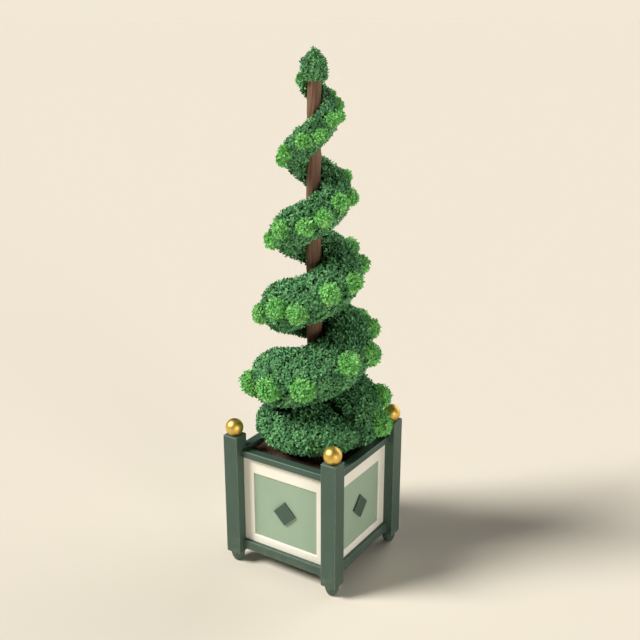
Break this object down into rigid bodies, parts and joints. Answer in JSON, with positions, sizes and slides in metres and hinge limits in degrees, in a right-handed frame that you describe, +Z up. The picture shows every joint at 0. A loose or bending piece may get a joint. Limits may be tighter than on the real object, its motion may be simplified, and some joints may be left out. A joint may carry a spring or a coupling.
{
  "type": "spiral topiary in a square timber planter",
  "caption": "Evergreen clipped into one roll of foliage that climbs round a bare trunk, growing in a square painted timber planter with gilded ball finials.",
  "frame": {"origin": "on the ground, under the middle of the planter", "axes": "+Z up along the trunk; the planter's front faces -Y and its right side faces +X"},
  "size_m": [0.5353, 0.5007, 1.7456],
  "materials": {
    "green_paint": "satin",
    "cream_paint": "satin",
    "sage_paint": "satin",
    "gilding": "polished",
    "soil": "matte",
    "bark": "matte",
    "foliage": "matte"
  },
  "bodies": {
    "root": {"foot_front_left": "green_paint", "post_front_left": "green_paint", "ball_front_left": "gilding", "foot_front_right": "green_paint", "post_front_right": "green_paint", "ball_front_right": "gilding", "foot_back_right": "green_paint", "post_back_right": "green_paint", "ball_back_right": "gilding", "foot_back_left": "green_paint", "post_back_left": "green_paint", "ball_back_left": "gilding", "top_rail_front": "green_paint", "bottom_rail_front": "green_paint", "board_front": "cream_paint", "panel_front": "sage_paint", "diamond_front": "green_paint", "top_rail_right": "green_paint", "bottom_rail_right": "green_paint", "board_right": "cream_paint", "panel_right": "sage_paint", "diamond_right": "green_paint", "top_rail_back": "green_paint", "bottom_rail_back": "green_paint", "board_back": "cream_paint", "panel_back": "sage_paint", "diamond_back": "green_paint", "top_rail_left": "green_paint", "bottom_rail_left": "green_paint", "board_left": "cream_paint", "panel_left": "sage_paint", "diamond_left": "green_paint", "planter_floor": "green_paint", "soil": "soil", "trunk": "bark", "tip_foliage": "foliage", "spiral_foliage_01": "foliage", "spiral_foliage_02": "foliage", "spiral_foliage_03": "foliage", "spiral_foliage_04": "foliage", "spiral_foliage_05": "foliage", "spiral_foliage_06": "foliage", "spiral_foliage_07": "foliage", "spiral_foliage_08": "foliage", "spiral_foliage_09": "foliage", "spiral_foliage_10": "foliage", "spiral_foliage_11": "foliage", "spiral_foliage_12": "foliage", "spiral_foliage_13": "foliage", "spiral_foliage_14": "foliage", "spiral_foliage_15": "foliage", "spiral_foliage_16": "foliage", "spiral_foliage_17": "foliage", "spiral_foliage_18": "foliage", "spiral_foliage_19": "foliage", "skirt_foliage_1": "foliage", "skirt_foliage_2": "foliage", "skirt_foliage_3": "foliage"}
  },
  "joints": []
}
